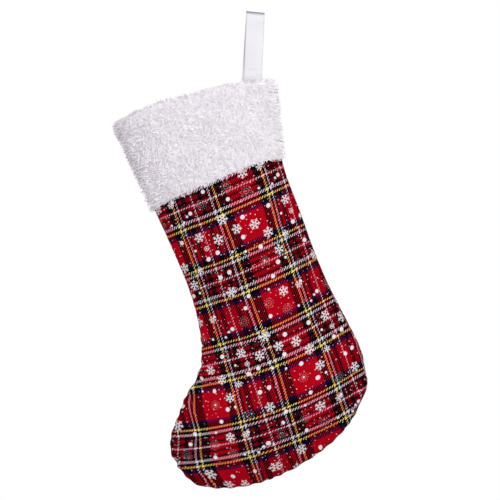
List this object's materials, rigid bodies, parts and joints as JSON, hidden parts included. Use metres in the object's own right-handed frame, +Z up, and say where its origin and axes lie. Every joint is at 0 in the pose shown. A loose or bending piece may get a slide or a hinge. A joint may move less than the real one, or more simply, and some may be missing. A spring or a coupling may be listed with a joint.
{
  "type": "hanging stocking",
  "caption": "Lined fabric holiday stocking in snowy tartan, with a deep white plush cuff over the mouth and a flat satin ribbon loop at the heel-side corner for hanging.",
  "frame": {"origin": "top of the ribbon loop, where the stocking hangs on a hook", "axes": "+Z up as it hangs, +X from the toe side towards the heel side, +Y from the front face to the back face"},
  "size_m": [0.3056, 0.061, 0.5732],
  "materials": {
    "plaid_cloth": "woven tartan in red, black, green, navy, yellow and white with a printed white snowflake pattern",
    "lining_cloth": "plain thin woven lining",
    "plush": "short curly plush pile",
    "satin_ribbon": "satin",
    "thread": "sewing thread"
  },
  "bodies": {
    "ribbon": {"hanging_ribbon_loop": "satin_ribbon"},
    "stocking": {"outer_front_panel": "plaid_cloth", "outer_back_panel": "plaid_cloth", "lining_front_panel": "lining_cloth", "lining_back_panel": "lining_cloth", "cuff_front_panel": "plush", "cuff_back_panel": "plush", "cuff_stitches": "thread", "ribbon_bar_tack": "thread", "ribbon_sewn_ends": "satin_ribbon"}
  },
  "joints": [
    {"name": "ribbon_swing", "type": "hinge", "parent": "ribbon", "child": "stocking", "pos_m": [-0.0049, 0, -0.076], "axis": [0.9979, 0, -0.0645], "range_deg": [-85, 85]}
  ]
}
